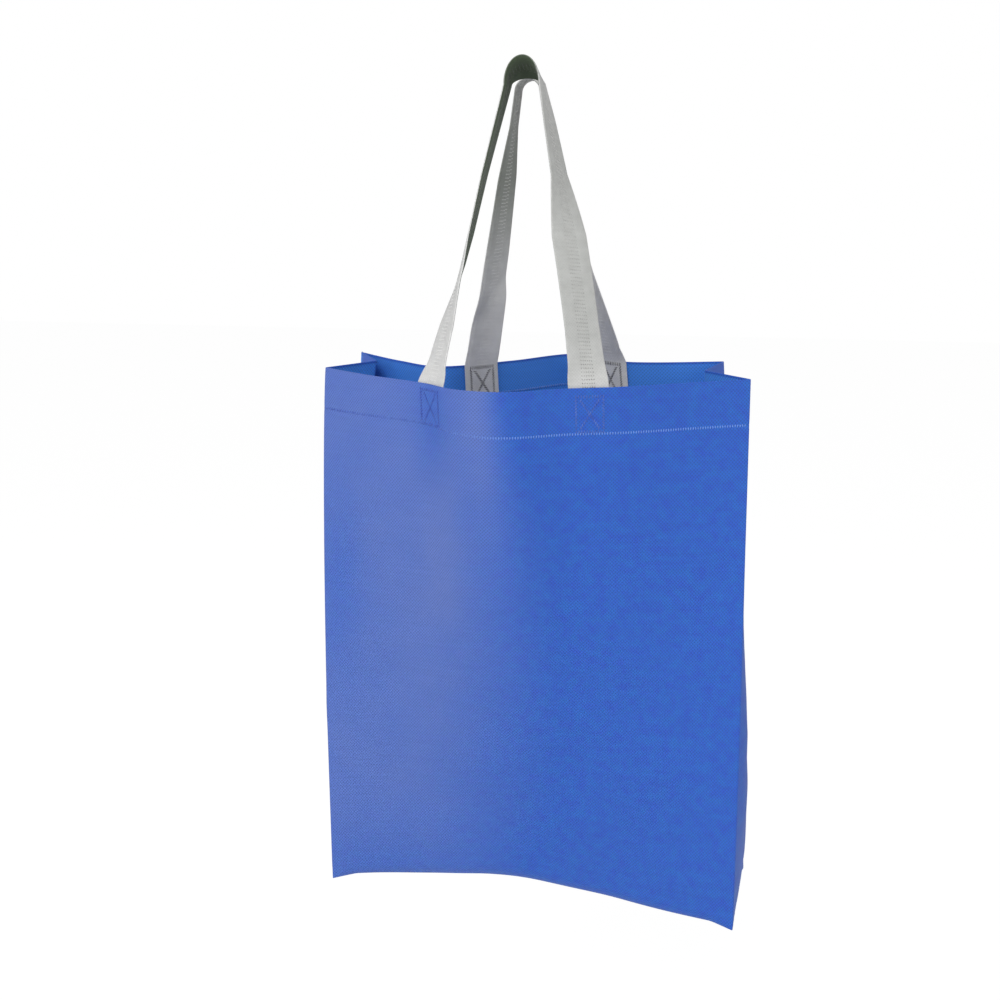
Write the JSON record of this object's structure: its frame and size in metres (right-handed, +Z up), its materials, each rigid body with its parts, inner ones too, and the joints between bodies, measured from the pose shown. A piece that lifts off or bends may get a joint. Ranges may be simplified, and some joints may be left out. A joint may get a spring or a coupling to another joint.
{
  "type": "non-woven carrier bag",
  "caption": "Open-topped carrier bag of non-woven sheet with tucked side gussets, a turned-in hem and welded strip handles, hanging empty from its handles.",
  "frame": {"origin": "the point on top of the peg where the two handles hang", "axes": "+Z up, +X to the right of someone who faces the front panel, +Y from the front panel to the back one, along the peg"},
  "size_m": [0.3369, 0.1935, 0.6464],
  "materials": {
    "sheet": "blue point-bonded non-woven polypropylene, matt with a faint sheen on the bond points",
    "strip": "grey point-bonded non-woven polypropylene, folded in three and spot-welded down its middle"
  },
  "bodies": {
    "root": {"bag_body": "sheet", "front_handle": "strip", "back_handle": "strip"}
  },
  "joints": []
}
